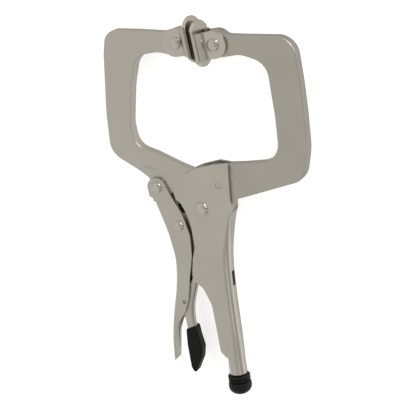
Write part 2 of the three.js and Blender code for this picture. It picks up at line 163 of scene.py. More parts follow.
def make_camera():
    back = Vector((
        math.sin(CAMERA_AZIMUTH) * math.cos(CAMERA_RISE),
        math.sin(CAMERA_RISE),
        math.cos(CAMERA_AZIMUTH) * math.cos(CAMERA_RISE),
    ))
    level = Vector((math.cos(CAMERA_AZIMUTH), 0, -math.sin(CAMERA_AZIMUTH)))
    upright = back.cross(level)
    right = math.cos(CAMERA_ROLL) * level - math.sin(CAMERA_ROLL) * upright
    up = math.sin(CAMERA_ROLL) * level + math.cos(CAMERA_ROLL) * upright
    data = bpy.data.cameras.new("camera")
    data.lens = CAMERA_LENS
    data.sensor_width = 36
    data.clip_start = 0.05
    data.clip_end = 200
    camera = bpy.data.objects.new("camera", data)
    bpy.context.scene.collection.objects.link(camera)
    place = Matrix((right, up, back)).transposed().to_4x4()
    place.translation = TO_ROW @ AIM + back * CAMERA_DISTANCE
    camera.matrix_world = place
    bpy.context.scene.camera = camera


FLOOR_REACH = 60
FLOOR_DROP = 0.0004


def make_floor():
    """A white light table: mostly its own light, so that shadows on it stay faint."""
    mesh = bpy.data.meshes.new("floor")
    corners = [(-1, -1, 0), (1, -1, 0), (1, 1, 0), (-1, 1, 0)]
    mesh.from_pydata([Vector(c) * FLOOR_REACH for c in corners], [], [(0, 1, 2, 3)])
    floor = bpy.data.objects.new("floor", mesh)
    floor.location.z = -FLOOR_DROP
    bpy.context.scene.collection.objects.link(floor)
    material = bpy.data.materials.new("floor_paper")
    material.use_nodes = True
    shader = material.node_tree.nodes["Principled BSDF"]
    shader.inputs["Base Color"].default_value = (0.9, 0.9, 0.9, 1)
    shader.inputs["Roughness"].default_value = 0.9
    shader.inputs["Specular IOR Level"].default_value = 0.1
    shader.inputs["Emission Color"].default_value = (1, 1, 1, 1)
    shader.inputs["Emission Strength"].default_value = 0.62
    mesh.materials.append(material)
    floor.visible_glossy = False


def make_softbox(name, direction, distance, width, height, power, tint=(1, 1, 1)):
    data = bpy.data.lights.new(name, "AREA")
    data.shape = "RECTANGLE"
    data.size = width
    data.size_y = height
    data.energy = power
    data.color = tint
    light = bpy.data.objects.new(name, data)
    light.location = Vector(direction).normalized() * distance
    light.rotation_euler = (-light.location).to_track_quat("-Z", "Y").to_euler()
    bpy.context.scene.collection.objects.link(light)


SKY_STOPS = [                          # height of a direction, straight down to straight up, and its light
    (0.00, 0.43),
    (0.12, 0.51),
    (0.34, 0.80),
    (0.55, 0.80),
    (0.66, 0.60),
    (0.80, 0.58),
    (0.92, 0.73),
    (1.00, 0.60),
]
SKY_SHADE = 0.55                       # what it loses above, towards the tool's back
SKY_LIFT = 0.42                        # and what it gains below


def make_sky():
    """Soft light from all round: bright near the horizon, dimmer above, dark below."""
    world = bpy.data.worlds.new("studio")
    world.use_nodes = True
    nodes = world.node_tree.nodes
    links = world.node_tree.links
    place = nodes.new("ShaderNodeTexCoord")
    split = nodes.new("ShaderNodeSeparateXYZ")
    height = nodes.new("ShaderNodeMapRange")
    height.inputs["From Min"].default_value = -1
    height.inputs["From Max"].default_value = 1
    ramp = nodes.new("ShaderNodeValToRGB")
    ramp.color_ramp.interpolation = "EASE"
    while len(ramp.color_ramp.elements) < len(SKY_STOPS):
        ramp.color_ramp.elements.new(0.5)
    for element, (position, light) in zip(ramp.color_ramp.elements, SKY_STOPS):
        element.position = position
        element.color = (light, light * 0.985, light * 0.94, 1)
    side = nodes.new("ShaderNodeMapRange")
    side.interpolation_type = "SMOOTHSTEP"
    side.inputs["From Min"].default_value = -0.35
    side.inputs["From Max"].default_value = 0.75
    links.new(split.outputs["X"], side.inputs["Value"])
    above = nodes.new("ShaderNodeMapRange")
    above.interpolation_type = "SMOOTHSTEP"
    above.inputs["From Min"].default_value = -0.4
    above.inputs["From Max"].default_value = 0.3
    above.inputs["To Min"].default_value = SKY_LIFT
    above.inputs["To Max"].default_value = -SKY_SHADE
    links.new(split.outputs["Z"], above.inputs["Value"])
    change = nodes.new("ShaderNodeMath")
    change.operation = "MULTIPLY_ADD"
    change.inputs[2].default_value = 1
    links.new(side.outputs["Result"], change.inputs[0])
    links.new(above.outputs["Result"], change.inputs[1])
    links.new(change.outputs["Value"], nodes["Background"].inputs["Strength"])
    links.new(place.outputs["Generated"], split.inputs[0])
    links.new(split.outputs["Z"], height.inputs["Value"])
    links.new(height.outputs["Result"], ramp.inputs["Fac"])
    links.new(ramp.outputs["Color"], nodes["Background"].inputs["Color"])
    bpy.context.scene.world = world


make_camera()
make_floor()
make_sky()
make_softbox("softbox_key", (0.66, -0.34, 0.67), 1.3, 0.20, 0.26, 0.62, (1.0, 0.985, 0.95))
make_softbox("softbox_back", (0.53, 0.66, 0.50), 1.4, 0.40, 0.32, 5.0, (1.0, 0.985, 0.95))
make_softbox("softbox_side", (0.76, 0.34, 0.52), 1.4, 0.16, 0.30, 1.6, (1.0, 0.985, 0.95))
bpy.context.scene.view_settings.view_transform = "Standard"


# ---- Outlines ------------------------------------------------------------------------------------------
def outline(corners):
    """A closed corner list [x, y, fillet radius] with its corners as arcs, as 2-D points."""
    points = []
    count = len(corners)
    for i, corner in enumerate(corners):
        here = Vector(corner[:2])
        radius = corner[2] if len(corner) > 2 else 0
        before = Vector(corners[i - 1][:2]) - here
        after = Vector(corners[(i + 1) % count][:2]) - here
        half = before.angle(after) / 2
        if radius == 0 or abs(half - math.pi / 2) < 0.01:
            points.append(here)
            continue
        reach = min(radius / math.tan(half), before.length * 0.49, after.length * 0.49)
        fillet = reach * math.tan(half)
        centre = here + (before.normalized() + after.normalized()).normalized() * (fillet / math.sin(half))
        start = here + before.normalized() * reach - centre
        end = here + after.normalized() * reach - centre
        sweep = math.atan2(start.x * end.y - start.y * end.x, start.dot(end))
        steps = max(2, math.ceil(abs(sweep) / ARC_STEP))
        for k in range(steps + 1):
            angle = sweep * k / steps
            turn = Matrix.Rotation(angle, 2)
            points.append(centre + turn @ start)
    area = sum(a.x * b.y - a.y * b.x for a, b in zip(points, points[1:] + points[:1]))
    return points if area > 0 else points[::-1]


def round_tip(pivot, start, end, steps=16):
    """An arm's round end about its pad's pivot, as outline corners."""
    corners = []
    for k in range(steps + 1):
        angle = math.radians(start + (end - start) * k / steps)
        corners.append((pivot[0] + TIP_RADIUS * math.cos(angle), pivot[1] + TIP_RADIUS * math.sin(angle), 0))
    return corners


def circle(centre, radius, count=ROUND):
    angles = (2 * math.pi * k / count for k in range(count))
    return [Vector((centre[0] + radius * math.cos(a), centre[1] + radius * math.sin(a))) for a in angles]


def inset(points, distance):
    """A counter-clockwise loop moved inwards by a distance, with mitred corners."""
    moved = []
    count = len(points)
    for i, here in enumerate(points):
        one = (here - points[i - 1]).normalized()
        two = (points[(i + 1) % count] - here).normalized()
        normal = Vector((-one.y - two.y, one.x + two.x)).normalized()
        lean = max(0.5, normal.dot(Vector((-one.y, one.x))))
        moved.append(here + normal * (distance / lean))
    return moved


# ---- Solids --------------------------------------------------------------------------------------------
def new_object(name, mesh):
    made = bpy.data.objects.new(name, mesh)
    bpy.context.scene.collection.objects.link(made)
    return made


def from_rings(name, rings, closed=False):
    """Rings of equal length joined into one body; the first and last are capped, or joined to each other."""
    build = bmesh.new()
    loops = [[build.verts.new(point) for point in ring] for ring in rings]
    pairs = list(zip(loops, loops[1:]))
    if closed:
        pairs.append((loops[-1], loops[0]))
    for lower, upper in pairs:
        for k in range(len(lower)):
            after = (k + 1) % len(lower)
            build.faces.new((lower[k], lower[after], upper[after], upper[k]))
    if not closed:
        build.faces.new(loops[0][::-1])
        build.faces.new(loops[-1])
    bmesh.ops.recalc_face_normals(build, faces=build.faces)
    mesh = bpy.data.meshes.new(name)
    build.to_mesh(mesh)
    build.free()
    return new_object(name, mesh)


def plate(name, points, half, edge=0.0, steps=4, low=None):
    """A flat plate with rounded edges."""
    low = -half if low is None else low
    rings = []
    if edge:
        for k in range(steps + 1):
            angle = math.pi / 2 * k / steps
            ring = inset(points, edge * (1 - math.sin(angle)))
            rings.append([(p.x, p.y, low + edge * (1 - math.cos(angle))) for p in ring])
        top = []
        for k in range(steps + 1):
            angle = math.pi / 2 * k / steps
            ring = inset(points, edge * (1 - math.cos(angle)))
            top.append([(p.x, p.y, half - edge * (1 - math.sin(angle))) for p in ring])
        rings += top
    else:
        rings = [[(p.x, p.y, low) for p in points], [(p.x, p.y, half) for p in points]]
    return from_rings(name, rings)


def bar(centre, radius, low=-FAR, high=FAR, count=ROUND):
    points = circle(centre, radius, count)
    return plate("bar", points, high, low=low)


def block(x, y, z):
    corners = [Vector((x[0], y[0])), Vector((x[1], y[0])), Vector((x[1], y[1])), Vector((x[0], y[1]))]
    return plate("block", corners, z[1], low=z[0])


def turned(name, profile, centre, axis="Z", count=ROUND, radius_at=None):
    """A turned body of [radius, height] pairs, bottom to top: about Z at a plan point, or about Y."""
    rings = []
    for radius, height in profile:
        ring = []
        for k in range(count):
            angle = 2 * math.pi * k / count
            r = radius_at(radius, height, angle) if radius_at else radius
            r = max(r, 0.002)
            if axis == "Z":
                ring.append((centre[0] + r * math.cos(angle), centre[1] + r * math.sin(angle), height))
            else:
                ring.append((centre[0] + r * math.cos(angle), height, r * math.sin(angle)))
        rings.append(ring)
    return from_rings(name, rings)


def combine(body, other, operation):
    """Cuts, joins or keeps the overlap of two solids; the other one is used up."""
    tool = body.modifiers.new("tool", "BOOLEAN")
    tool.operation = operation
    tool.solver = "EXACT"
    tool.object = other
    mesh = bpy.data.meshes.new_from_object(body.evaluated_get(bpy.context.evaluated_depsgraph_get()))
    body.modifiers.clear()
    body.data = mesh
    bpy.data.objects.remove(other)
    return body


def cut(body, *tools):
    for tool in tools:
        combine(body, tool, "DIFFERENCE")
    return body


def join(body, *others):
    for other in others:
        combine(body, other, "UNION")
    return body


def soften(body, width, segments=3, angle=50):
    """Breaks the sharp edges that booleans left."""
    build = bmesh.new()
    build.from_mesh(body.data)
    bmesh.ops.remove_doubles(build, verts=build.verts, dist=0.003)
    bmesh.ops.dissolve_degenerate(build, edges=build.edges, dist=0.003)
    bmesh.ops.dissolve_limit(build, angle_limit=math.radians(0.3), verts=build.verts, edges=build.edges)
    sharp = []
    for edge in build.edges:
        if len(edge.link_faces) != 2 or edge.calc_face_angle(0) < math.radians(angle):
            continue
        sharp.append(edge)
    bmesh.ops.bevel(
        build, geom=sharp, offset=width, offset_type="OFFSET", segments=segments, profile=0.5,
        affect="EDGES", clamp_overlap=True, miter_outer="ARC",
    )
    build.to_mesh(body.data)
    build.free()
    return body


# ---- Materials -----------------------------------------------------------------------------------------
def surface_material(name, color, other, metallic, roughness, spread, grain, bump, wave=0.0, seed=0):
    """A finish with patchy colour, patchy roughness, a fine grain and, if asked, a slow waviness."""
    material = bpy.data.materials.new(name)
    material.use_nodes = True
    nodes = material.node_tree.nodes
    links = material.node_tree.links
    shader = nodes["Principled BSDF"]
    shader.inputs["Metallic"].default_value = metallic
    place = nodes.new("ShaderNodeTexCoord")

    def noise(scale, detail, stretch=(1, 1, 1), w=0.0):
        move = nodes.new("ShaderNodeMapping")
        move.inputs["Scale"].default_value = stretch
        move.inputs["Location"].default_value = (seed * 0.37 + w, seed * 0.11, seed * 0.23)
        texture = nodes.new("ShaderNodeTexNoise")
        texture.inputs["Scale"].default_value = scale
        texture.inputs["Detail"].default_value = detail
        links.new(place.outputs["Object"], move.inputs["Vector"])
        links.new(move.outputs["Vector"], texture.inputs["Vector"])
        return texture.outputs["Fac"]

    def ranged(value, low, high, start=0.3, end=0.7):
        spread_node = nodes.new("ShaderNodeMapRange")
        spread_node.inputs["From Min"].default_value = start
        spread_node.inputs["From Max"].default_value = end
        spread_node.inputs["To Min"].default_value = low
        spread_node.inputs["To Max"].default_value = high
        links.new(value, spread_node.inputs["Value"])
        return spread_node.outputs["Result"]

    def total(first, second, how="ADD"):
        maths = nodes.new("ShaderNodeMath")
        maths.operation = how
        links.new(first, maths.inputs[0])
        links.new(second, maths.inputs[1])
        return maths.outputs["Value"]

    patches = noise(38, 4)
    mix = nodes.new("ShaderNodeMix")
    mix.data_type = "RGBA"
    mix.inputs["A"].default_value = (*color, 1)
    mix.inputs["B"].default_value = (*other, 1)
    fine = noise(1500, 3, w=0.4)
    factor = total(ranged(patches, 0.0, 0.8), ranged(fine, -0.15, 0.25))
    links.new(factor, mix.inputs["Factor"])
    links.new(mix.outputs["Result"], shader.inputs["Base Color"])

    streaks = noise(420, 3, stretch=(1, 0.06, 1), w=0.7)
    cloudy = ranged(noise(70, 5, w=0.2), roughness - spread, roughness + spread)
    rough = total(cloudy, ranged(streaks, -0.03, 0.03))
    links.new(rough, shader.inputs["Roughness"])

    height = ranged(noise(grain, 2, w=0.9), 0.0, bump, 0.2, 0.8)
    if wave:
        height = total(height, ranged(noise(55, 1, w=0.5), 0.0, wave, 0.2, 0.8))
    relief = nodes.new("ShaderNodeBump")
    relief.inputs["Strength"].default_value = 1.0
    relief.inputs["Distance"].default_value = 1.0
    links.new(height, relief.inputs["Height"])
    links.new(relief.outputs["Normal"], shader.inputs["Normal"])
    return material


NICKEL = surface_material("satin_nickel", (0.615, 0.588, 0.530), (0.575, 0.552, 0.500), 1.0,
                          0.37, 0.03, 2600, 2.2e-6, wave=2e-5, seed=1)
# A darker copy of the same nickel for the fixed jaw: painted shade, so that arm looks less lit than the
# movable one
PAINTED_SHADE_NICKEL = surface_material("satin_nickel_painted_shade", (0.540, 0.512, 0.460), (0.505, 0.485, 0.438), 1.0,
                                0.36, 0.03, 2600, 2.2e-6, wave=2e-5, seed=2)
PAD_NICKEL = surface_material("satin_nickel_pad", (0.62, 0.592, 0.535), (0.57, 0.547, 0.495), 1.0,
                              0.22, 0.03, 2600, 2.0e-6, seed=8)
BRIGHT_NICKEL = surface_material("bright_nickel", (0.66, 0.635, 0.575), (0.60, 0.575, 0.52), 1.0,
                                 0.21, 0.02, 3000, 1.5e-6, seed=3)
STEEL = surface_material("oiled_steel", (0.40, 0.385, 0.36), (0.30, 0.285, 0.26), 1.0,
                         0.36, 0.06, 2400, 4e-6, seed=4)
WIRE = surface_material("spring_wire", (0.52, 0.50, 0.46), (0.40, 0.385, 0.35), 1.0,
                        0.26, 0.04, 3500, 1.5e-6, seed=5)
VINYL = surface_material("dipped_vinyl", (0.006, 0.006, 0.0065), (0.010, 0.010, 0.0105), 0.0,
                         0.48, 0.05, 1500, 1.2e-5, wave=6e-5, seed=6)
RUBBER = surface_material("knob_vinyl", (0.006, 0.006, 0.0065), (0.010, 0.010, 0.0105), 0.0,
                          0.40, 0.05, 1800, 1.0e-5, wave=3e-5, seed=7)
VINYL.node_tree.nodes["Principled BSDF"].inputs["Specular IOR Level"].default_value = 0.16
RUBBER.node_tree.nodes["Principled BSDF"].inputs["Specular IOR Level"].default_value = 0.22


# ---- Putting a piece in place -----------------------------------------------------------------------------
def settle(body, node, ride, material, smooth_angle=40):
    """Names a finished solid, moves it to the row frame and lets it stand for its CAD node."""
    body.name = f"{node}.fine"
    body.data.name = body.name
    body.data.transform(TO_ROW)
    body.data.materials.clear()
    body.data.materials.append(material)
    body.data.shade_smooth()
    body.data.set_sharp_from_angle(angle=math.radians(smooth_angle))
    weighted = body.modifiers.new("flat_faces", "WEIGHTED_NORMAL")
    weighted.mode = "FACE_AREA"
    weighted.weight = 80
    weighted.keep_sharp = True
    if isinstance(ride, tuple):
        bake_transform(body)
    else:
        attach(body, ride)
    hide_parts(node)
    return body


# ---- Jaws ----------------------------------------------------------------------------------------------
def grown_capsule(start, along, length, radius, low, high, grow):
    """A stadium-shaped cutter that widens upwards, so that it leaves a sloping step."""
    rings = []
    angle = math.atan2(along[1], along[0])
    for level, extra in ((low, 0), (high, grow)):
        ring = []
        for end, first in ((0, math.pi / 2), (length, -math.pi / 2)):
            for k in range(17):
                a = angle + first + math.pi * k / 16
                ring.append((
                    start[0] + end * math.cos(angle) + (radius + extra) * math.cos(a),
                    start[1] + end * math.sin(angle) + (radius + extra) * math.sin(a),
                    level,
                ))
        rings.append(ring)
    return from_rings("capsule", rings)


def mirrored(body):
    """A copy on the other side of the mid-plane."""
    mesh = body.data.copy()
    mesh.transform(Matrix.Scale(-1, 4, (0, 0, 1)))
    mesh.flip_normals()
    return new_object(body.name, mesh)


def both_sides(body):
    return [mirrored(body), body]


def movable_jaw():
    shape = outline([
        (-38.5, 21.5, 4), (-47.5, 28.5, 10), (-66.6, 40.5, 15), (-65.2, 70, 60), (-60.0, 112, 40),
        (-56.0, 128.6, 13), (-30, 127.0, 30), (-12, 125.2, 16), *round_tip(LEFT_PAD_PIVOT, 90, -90),
        (-18, 111.8, 20), (-34.4, 109.8, 12), (-41, 90, 60), (-46.6, 62, 30), (-45.2, 45.5, 12),
        (-31, 40, 12), (-14, 31.6, 20), (3, 24.5, 12), (12.6, 10, 10), (13.4, -8, 12), (1, -14.2, 12),
        (-12.6, -10.5, 10), (-13.8, 2, 6), (-18.0, 5.4, 1.5), (-18.6, 2.4, 2.6), (-24.4, 2.4, 2.6),
        (-25.0, 7.0, 2), (-30, 8.2, 6), (-40.0, 9.0, 6.5),
    ])
    jaw = plate("jaw", shape, JAW_HALF, JAW_EDGE)
    towards_link = Vector(LINK_PIVOT) - Vector(LEVER_PIVOT)
    cut(jaw, *both_sides(grown_capsule(LEVER_PIVOT, towards_link, 60, 9.6, LUG_HALF, 6, 3.8)))
    cut(jaw, *both_sides(grown_capsule(LEVER_PIVOT, (-0.765, 0.645), 9, 8.6, LUG_HALF, 6, 3.4)))
    cut(jaw, *both_sides(grown_capsule(SPRING_EYE, (1, 0), 0.01, 5.2, 1.0, 6, 2.0)))
    cut(jaw, bar(SPRING_EYE, 1.8), bar(MAIN_PIVOT, MAIN_PIN + GAP), bar(LEVER_PIVOT, SMALL_PIN + GAP))
    cut(jaw, bar(LEFT_PAD_PIVOT, SMALL_PIN + GAP))
    return jaw


def fixed_jaw():
    shape = outline([
        (15.4, -2.3, 0.3), (22.0, -2.3, 0.3), (23.2, 3.2, 4), (27, 6.7, 5), (34, 8.5, 8),
        (78.4, 20.6, 13), (83.6, 42, 40), (84.2, 68, 60), (83.9, 88, 50), (82.3, 118.8, 14),
        (52, 120.4, 40), (36, 121.4, 14), *round_tip(RIGHT_PAD_PIVOT, 90, 270), (43, 108.0, 16),
        (60.8, 101.6, 16), (62.4, 66, 60), (62.0, 34.4, 14), (34, 32.4, 20), (24.5, 32.2, 3),
        (15.0, 27.0, 4), (14.6, 10, 10),
    ])
    jaw = plate("jaw", shape, JAW_HALF, JAW_EDGE)
    return cut(jaw, bar(FIXING_RIVET, FIXING_PIN + 0.05), bar(RIGHT_PAD_PIVOT, SMALL_PIN + GAP))


# ---- Bent sheet ----------------------------------------------------------------------------------------
def trough(stations, open_x, half, bend, steps=10):
    """A U-section that follows a bend line of [y, spine x] stations, closed by a rounded spine."""
    side = math.copysign(1, stations[0][1] - open_x)
    rings = []
    for y, spine_x in stations:
        radius = bend(y) if callable(bend) else bend
        ring = [(open_x, y, half), (open_x, y, -half)]
        for corner in (-1, 1):
            for k in range(steps + 1):
                angle = math.pi / 2 * (1 - k / steps if corner < 0 else k / steps)
                x = spine_x - side * radius * (1 - math.cos(angle))
                ring.append((x, y, corner * (half - radius * (1 - math.sin(angle)))))
        rings.append(ring)
    return from_rings("trough", rings)


def smooth_line(stations, first, last, step=3.0):
    """[y, x] stations between two of them, rounded into one flowing line."""
    kept = stations[first:last + 1]
    line = [kept[0]]
    for i in range(len(kept) - 1):
        p0 = kept[max(i - 1, 0)]
        p1, p2 = kept[i], kept[i + 1]
        p3 = kept[min(i + 2, len(kept) - 1)]
        count = max(1, round(abs(p2[0] - p1[0]) / step))
        for k in range(1, count + 1):
            t = k / count
            point = []
            for axis in (0, 1):
                a, b, c, d = p0[axis], p1[axis], p2[axis], p3[axis]
                value = 2 * b + (c - a) * t
                value += (2 * a - 5 * b + 4 * c - d) * t ** 2
                value += (3 * b - a - 3 * c + d) * t ** 3
                point.append(value / 2)
            line.append(tuple(point))
    return stations[:first] + line + stations[last + 1:]


def bent_sheet(stations, open_x, inner_half, sheet, bend):
    """The wall between a trough and the same trough moved in by the sheet."""
    side = math.copysign(1, stations[0][1] - open_x)
    inner = [(y, x - side * sheet) for y, x in stations]
    inner[0] = (inner[0][0] - math.copysign(1, stations[1][0] - stations[0][0]), inner[0][1])
    inner[-1] = (inner[-1][0] + math.copysign(1, stations[-1][0] - stations[-2][0]), inner[-1][1])
    outer = trough(stations, open_x, inner_half + sheet, bend)

    def inner_bend(y):
        return max((bend(y) if callable(bend) else bend) - sheet, 0.8)

    return cut(outer, trough(inner, open_x - side * 5, inner_half, inner_bend))


def eased(value, start, end):
    share = min(max((value - start) / (end - start), 0), 1)
    return share * share * (3 - 2 * share)


def body_bend(y):
    """The spine is folded tight under the jaw, opens to its full bend, and is round at the neck."""
    return 1.0 + (BODY_BEND - 1.0) * eased(y, -1, -36) + (BODY_OUTER - 0.1 - BODY_BEND) * eased(y, -92, -108)


def fixed_handle():
    spine = smooth_line([
        (60, 45), (-2.2, 45), (-2.4, 22.2), (-11, 19.6), (-31, 16.4), (-46, 14.9), (-64, 14.4),
        (-83, 14.4), (-101, 14.6), (-110, 14.6), (-116, 14.6),
    ], 2, 10)
    plan = outline([
        (-15.8, 20.6, 6), (-9.6, 25.6, 8), (0, 29.6, 20), (13, 32.4, 20), (24.6, 33.4, 1), (23.3, 15, 20),
        (22.2, -4, 6), (24, -40, 0), (24, NECK_TOP - 3, 0), (3.2, NECK_TOP - 3, 0), (-0.6, -108.4, 4),
        (-1.4, -90, 30), (-2.4, -72, 14), (-7.4, -59.5, 10), (-11.2, -56.2, 2), (-14.2, -54.6, 1.5),
        (-14.4, -49, 3), (-12.2, -37, 20), (-9.4, -28.5, 3), (-9.8, -14.5, 20), (-11.8, -4, 20),
        (-15.4, 4.0, 1), (-18.8, 7.2, 1.2), (-20.2, 12.5, 5),
    ])
    neck = turned("neck", [
        (NECK_OUTER - 3.5, NECK_BOTTOM + 0.5), (NECK_OUTER - 0.7, NECK_BOTTOM + 0.02),
        (NECK_OUTER, NECK_BOTTOM + 0.6),
        (NECK_OUTER - 0.15, NECK_BOTTOM + 6), (NECK_OUTER - 0.3, NECK_TOP - 3),
        (NECK_OUTER - 0.9, NECK_TOP + 0.5),
        (NECK_OUTER - 2.0, NECK_TOP + 1.6), (NECK_OUTER - 2.3, NECK_TOP + 2.2),
    ], (SCREW_X, 0), axis="Y")
    bore = turned("bore", [(NECK_INNER, NECK_BOTTOM - 9), (NECK_INNER, NECK_TOP + 9)], (SCREW_X, 0), axis="Y")
    slot = block((SCREW_X, FAR), (SLOT_CENTRE_Y - SLOT_LENGTH / 2, SLOT_CENTRE_Y + SLOT_LENGTH / 2),
                 (-SLOT_WIDTH / 2, SLOT_WIDTH / 2))
    far_corner = plate("corner", outline([(10, 33.2), (26, 30.4), (26, 40), (10, 40)]), -1, low=-FAR)
    body = bent_sheet(spine, -60, BODY_INNER, BODY_SHEET, body_bend)
    combine(body, plate("plan", plan, FAR), "INTERSECT")
    cut(body, far_corner)
    join(body, neck)
    cut(body, bore, slot, bar(MAIN_PIVOT, MAIN_PIN + GAP), bar(FIXING_RIVET, FIXING_PIN + 0.05))
    return soften(body, SHEET_EDGE)


def lever_handle():
    back = smooth_line([
        (60, -90), (5.2, -90), (5.0, -37.4), (-5.4, -34.4), (-16.6, -31.3), (-27.9, -29.2),
        (-39.3, -28.0), (-50.9, -28.9), (-62.6, -31.0), (-74.5, -34.0), (-86.4, -36.9), (-102.4, -39.7),
        (-119, -41.0), (-125, -41.4),
    ], 2, 13)
    plan = outline([
        (-39.9, 8.6, 6.8), (-40.8, 18, 7.1), (-36, 22.4, 7.1), (-28.6, 21.6, 6), (-22.6, 8, 30),
        (-15.8, -6.5, 30), (-12.6, -20, 16), (-13.4, -36, 30), (-17.6, -52.5, 40), (-21.4, -70, 20),
        (-25.4, -79.6, 10), (-31.9, -87.6, 20), (-36.0, -97, 20), (-39.2, -118.6, 1.2), (-44, -120.4, 1),
        (-44, -100, 0), (-44, -30, 0), (-41, 2, 0), (-37.5, 4.6, 0), (-36.9, 7.0, 1.5),
    ])
    body = bent_sheet(back, 30, LEVER_INNER, LEVER_SHEET, LEVER_BEND)
    combine(body, plate("plan", plan, FAR), "INTERSECT")
    cut(body, bar(LEVER_PIVOT, SMALL_PIN + GAP), bar(LINK_PIVOT, SMALL_PIN + GAP))
    cut(body, bar(RELEASE_PIVOT, RELEASE_PIN + 0.05))
    return soften(body, SHEET_EDGE)


def release_lever():
    spine = smooth_line([
        (-40, -8.6), (-46, -9.8), (-57, -13.7), (-61.7, -15.2), (-68, -17.4), (-74.3, -19.3),
        (-81.4, -20.5), (-88, -20.7), (-96, -20.2), (-118, -20.6), (-122, -20.7),
    ], 0, 10)
    plan = outline([
        (-9.6, -45.2, 1.5), (-5, -50, 0), (-5, -100, 0), (-20.6, -108, 3), (-21.4, -118, 2),
        (-24.2, -118, 2), (-26.2, -98, 5), (-26.6, -88, 10), (-27.8, -78, 6), (-28.6, -70, 4),
        (-24.4, -63.6, 5), (-18.6, -58, 8), (-13.2, -47, 3),
    ])
    body = bent_sheet(spine, -50, RELEASE_INNER, RELEASE_SHEET, RELEASE_SHEET + 0.7)
    combine(body, plate("plan", plan, FAR), "INTERSECT")
    cut(body, bar(RELEASE_PIVOT, RELEASE_PIN + 0.1))
    return soften(body, 0.22, segments=2)


# ---- Link, grip, screw, knob -----------------------------------------------------------------------------
def toggle_link():
    along = Vector(LINK_SEAT) - Vector(LINK_PIVOT)
    length = along.length
    shape = outline([
        (-LINK_HUB, -LINK_HUB, LINK_HUB), (2, -LINK_HUB, 6), (12, -4.2, 10),
        (length + LINK_NOSE, -LINK_NOSE, LINK_NOSE), (length + LINK_NOSE, LINK_NOSE, LINK_NOSE),
        (12, 4.2, 10), (2, LINK_HUB, 6), (-LINK_HUB, LINK_HUB, LINK_HUB),
    ])
    body = plate("link", shape, LINK_HALF, 0.4, 3)
    place = Matrix.Translation((*LINK_PIVOT, 0)) @ Matrix.Rotation(math.atan2(along.y, along.x), 4, "Z")
    body.data.transform(place)
    return cut(body, bar(LINK_PIVOT, SMALL_PIN + GAP))


def release_grip():
    shape = outline([
        (-27.6, -93.8, 1.5), (-19.4, -90.4, 2), (-18.6, -98.5, 8), (-16.8, -108.5, 7), (-18.4, -116.5, 8),
        (-25.0, -129.4, 2.2), (-27.8, -124, 4), (-28.4, -106, 20),
    ])
    pocket = outline([
        (-26.9, -80, 0), (-20.0, -80, 0), (-19.6, -100, 2), (-20.6, -118.6, 2), (-25.0, -118.6, 2),
        (-27.0, -98, 3),
    ])
    body = plate("grip", shape, GRIP_HALF, 1.35, 6)
    return cut(body, plate("pocket", pocket, RELEASE_OUTER + 0.1))


THREAD_PITCH = 1.25
THREAD_DEPTH = 0.55


def adjusting_screw():
    tip = LINK_SEAT[1] - LINK_NOSE - SEAT_CLEARANCE
    foot = KNOB_BOTTOM + 3
    step = THREAD_PITCH / 8
    rows = round((tip - 0.4 - foot) / step)

    def threaded(radius, height, angle):
        if height < foot + 0.1 or height > tip - 0.3:
            return radius
        phase = (height / THREAD_PITCH + angle / (2 * math.pi)) % 1
        return radius - THREAD_DEPTH * abs(2 * phase - 1)

    profile = [(0, foot), (SCREW_RADIUS - 1, foot)]
    profile += [(min(SCREW_RADIUS, SCREW_RADIUS - 1.4 + (tip - 0.4 - foot - k * step) * 0.9), foot + k * step)
                for k in range(rows)]
    profile += [(SCREW_RADIUS - 1.6, tip - 0.2), (SCREW_RADIUS - 2.0, tip), (0, tip)]
    return turned("screw", profile, (SCREW_X, 0), axis="Y", count=32, radius_at=threaded)


def screw_knob():
    """A dipped knob: a domed end, a barrel, a ring groove and a collar."""
    bore = SCREW_RADIUS + GAP
    foot = KNOB_BOTTOM
    profile = [(0, foot), (2.0, foot + 0.03)]
    for k in range(1, 11):
        angle = math.pi / 2 * k / 10
        radius = 2.0 + (KNOB_RADIUS - 2.0) * math.sin(angle)
        profile.append((radius, foot + 0.03 + 6.2 * (1 - math.cos(angle))))
    profile += [(KNOB_RADIUS - 0.04, foot + 7.2), (KNOB_RADIUS - 0.2, foot + 8.4)]
    profile.append((KNOB_RADIUS - 0.55, foot + 9.2))
    for start, depth in ((9.5, 1.2), (11.9, 1.0)):
        for k in range(9):
            angle = math.pi * k / 8
            profile.append((KNOB_RADIUS - 0.6 - depth * math.sin(angle), foot + start + 1.4 * k / 8))
        profile.append((KNOB_RADIUS - 0.42, foot + start + 1.7))
        profile.append((KNOB_RADIUS - 0.42, foot + start + 2.1))
    profile += [(KNOB_RADIUS - 0.9, foot + 14.5), (KNOB_RADIUS - 1.8, KNOB_TOP - 0.25)]
    profile.append((KNOB_RADIUS - 2.8, KNOB_TOP))
    profile.append((bore + 0.4, KNOB_TOP))
    body = turned("knob", profile, (SCREW_X, 0), axis="Y", count=96)
    hole = turned("hole", [(bore, foot + 3 - GAP), (bore, KNOB_TOP + 5)], (SCREW_X, 0), axis="Y")
    return cut(body, hole)


# ---- Rivets and pins -------------------------------------------------------------------------------------
def rivet(centre, pin, head, seat, dimple=0.22):
    """A shank and two domed heads; each dome is spun, with a slight dip at its middle."""
    lip = seat + 0.04
    top = seat + GAP + HEAD_HEIGHT
    wall = 0.25
    rise = top - lip - wall
    half = [(pin, lip), (head - 0.12, lip), (head, lip + 0.12), (head, lip + wall)]
    for k in range(1, 13):
        angle = math.pi / 2 * k / 12
        radius = head * math.cos(angle)
        dip = dimple * rise * max(0, 1 - radius / (0.34 * head)) ** 2
        half.append((radius, lip + wall + rise * math.sin(angle) ** 1.15 - dip))
    profile = [(r, -z) for r, z in reversed(half)] + half
    return turned("rivet", profile, centre)


